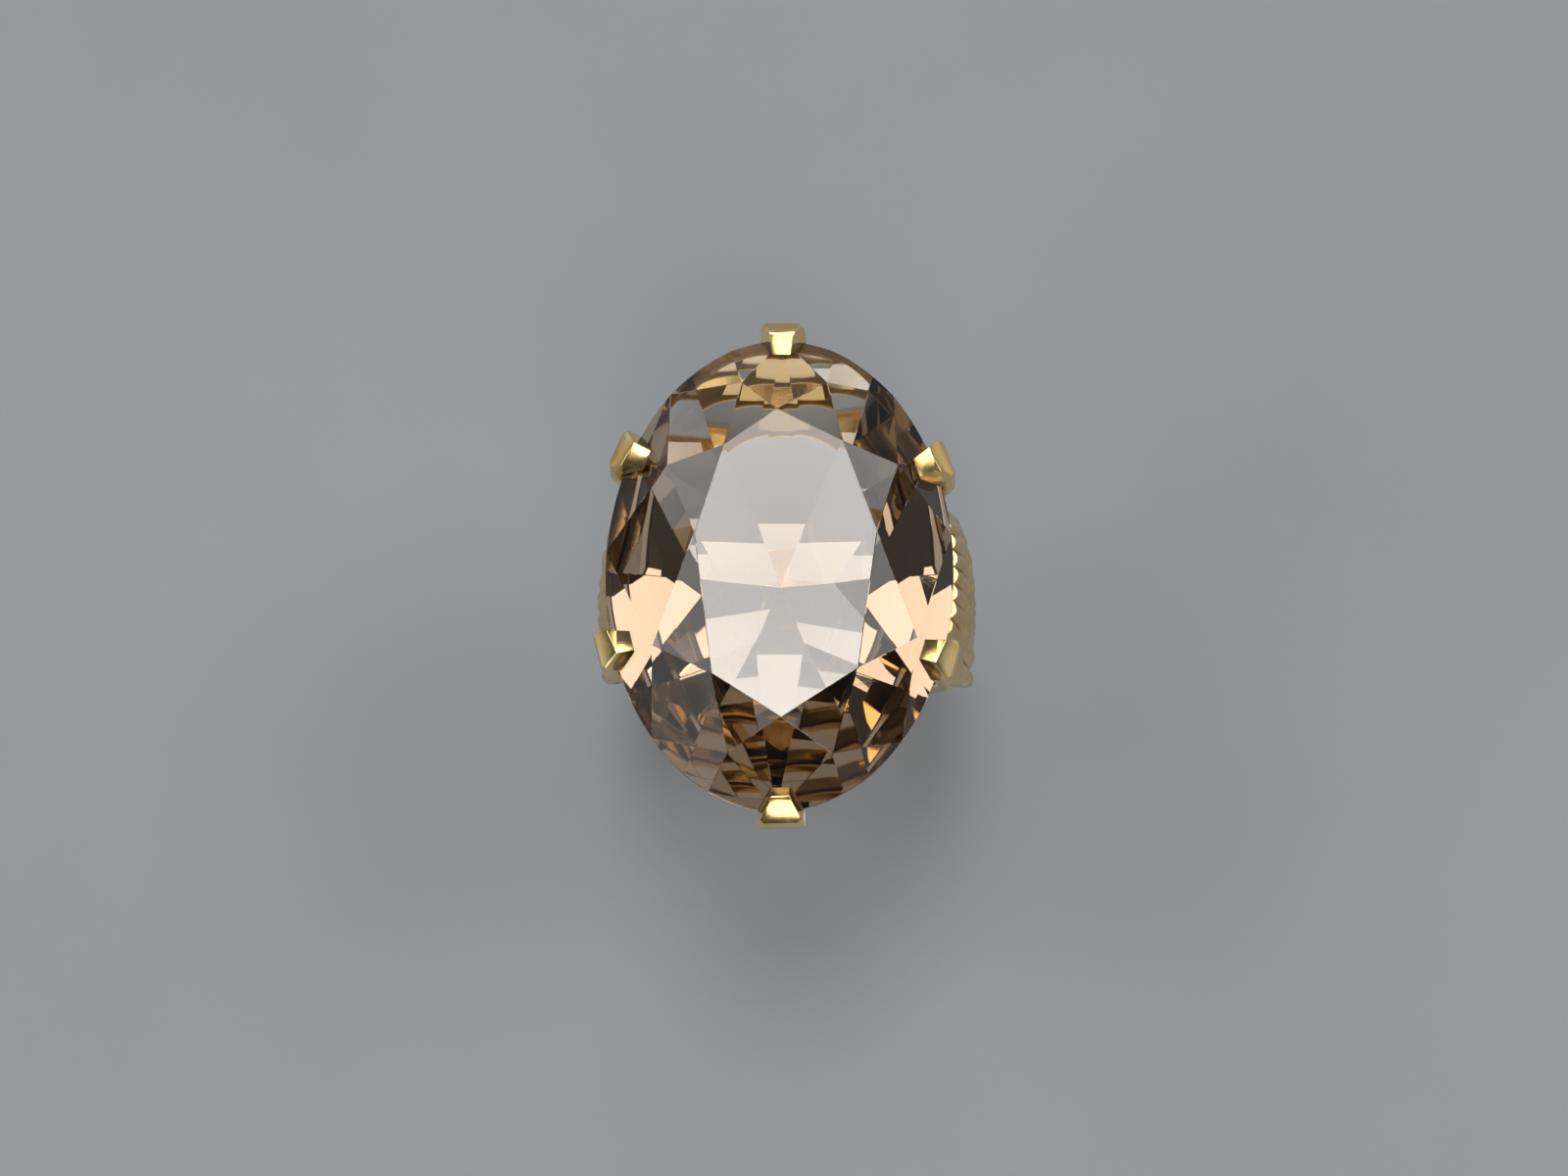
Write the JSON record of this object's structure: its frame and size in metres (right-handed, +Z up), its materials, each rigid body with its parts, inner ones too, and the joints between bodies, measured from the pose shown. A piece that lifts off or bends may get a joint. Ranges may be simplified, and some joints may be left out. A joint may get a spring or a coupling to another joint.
{
  "type": "cocktail ring",
  "caption": "Yellow-gold cocktail ring with a large oval faceted smoky-brown stone held by claws in an open basket, on a tapering hoop with wide ribbed shoulders.",
  "frame": {"origin": "centre of the finger hole, at the middle of the hoop's width", "axes": "+Y along the finger, which is the long direction of the oval stone; +Z up from the finger through the middle of the stone; +X across, towards the right-hand shoulder"},
  "size_m": [0.021, 0.0266, 0.0293],
  "materials": {
    "smoky_stone": "polished, transparent, flat facets",
    "gold_claws": "polished pale yellow gold, filed by hand",
    "gold_gallery": "polished pale yellow gold",
    "gold_shank": "polished pale yellow gold with wear scratches",
    "gold_textured": "textured pale yellow gold"
  },
  "bodies": {
    "root": {"stone": "smoky_stone", "claw_back": "gold_claws", "claw_front": "gold_claws", "claw_back_left": "gold_claws", "claw_back_right": "gold_claws", "claw_front_left": "gold_claws", "claw_front_right": "gold_claws", "upper_gallery_rail": "gold_gallery", "saddle_rail": "gold_gallery", "shank": "gold_shank", "shoulder_bar_right_1": "gold_textured", "shoulder_bar_right_2": "gold_textured", "shoulder_bar_right_3": "gold_textured", "shoulder_bar_right_4": "gold_textured", "shoulder_bar_right_5": "gold_textured", "shoulder_bar_right_6": "gold_textured", "shoulder_bar_right_7": "gold_textured", "shoulder_bar_left_1": "gold_textured", "shoulder_bar_left_2": "gold_textured", "shoulder_bar_left_3": "gold_textured", "shoulder_bar_left_4": "gold_textured", "shoulder_bar_left_5": "gold_textured", "shoulder_bar_left_6": "gold_textured", "shoulder_bar_left_7": "gold_textured"}
  },
  "joints": []
}
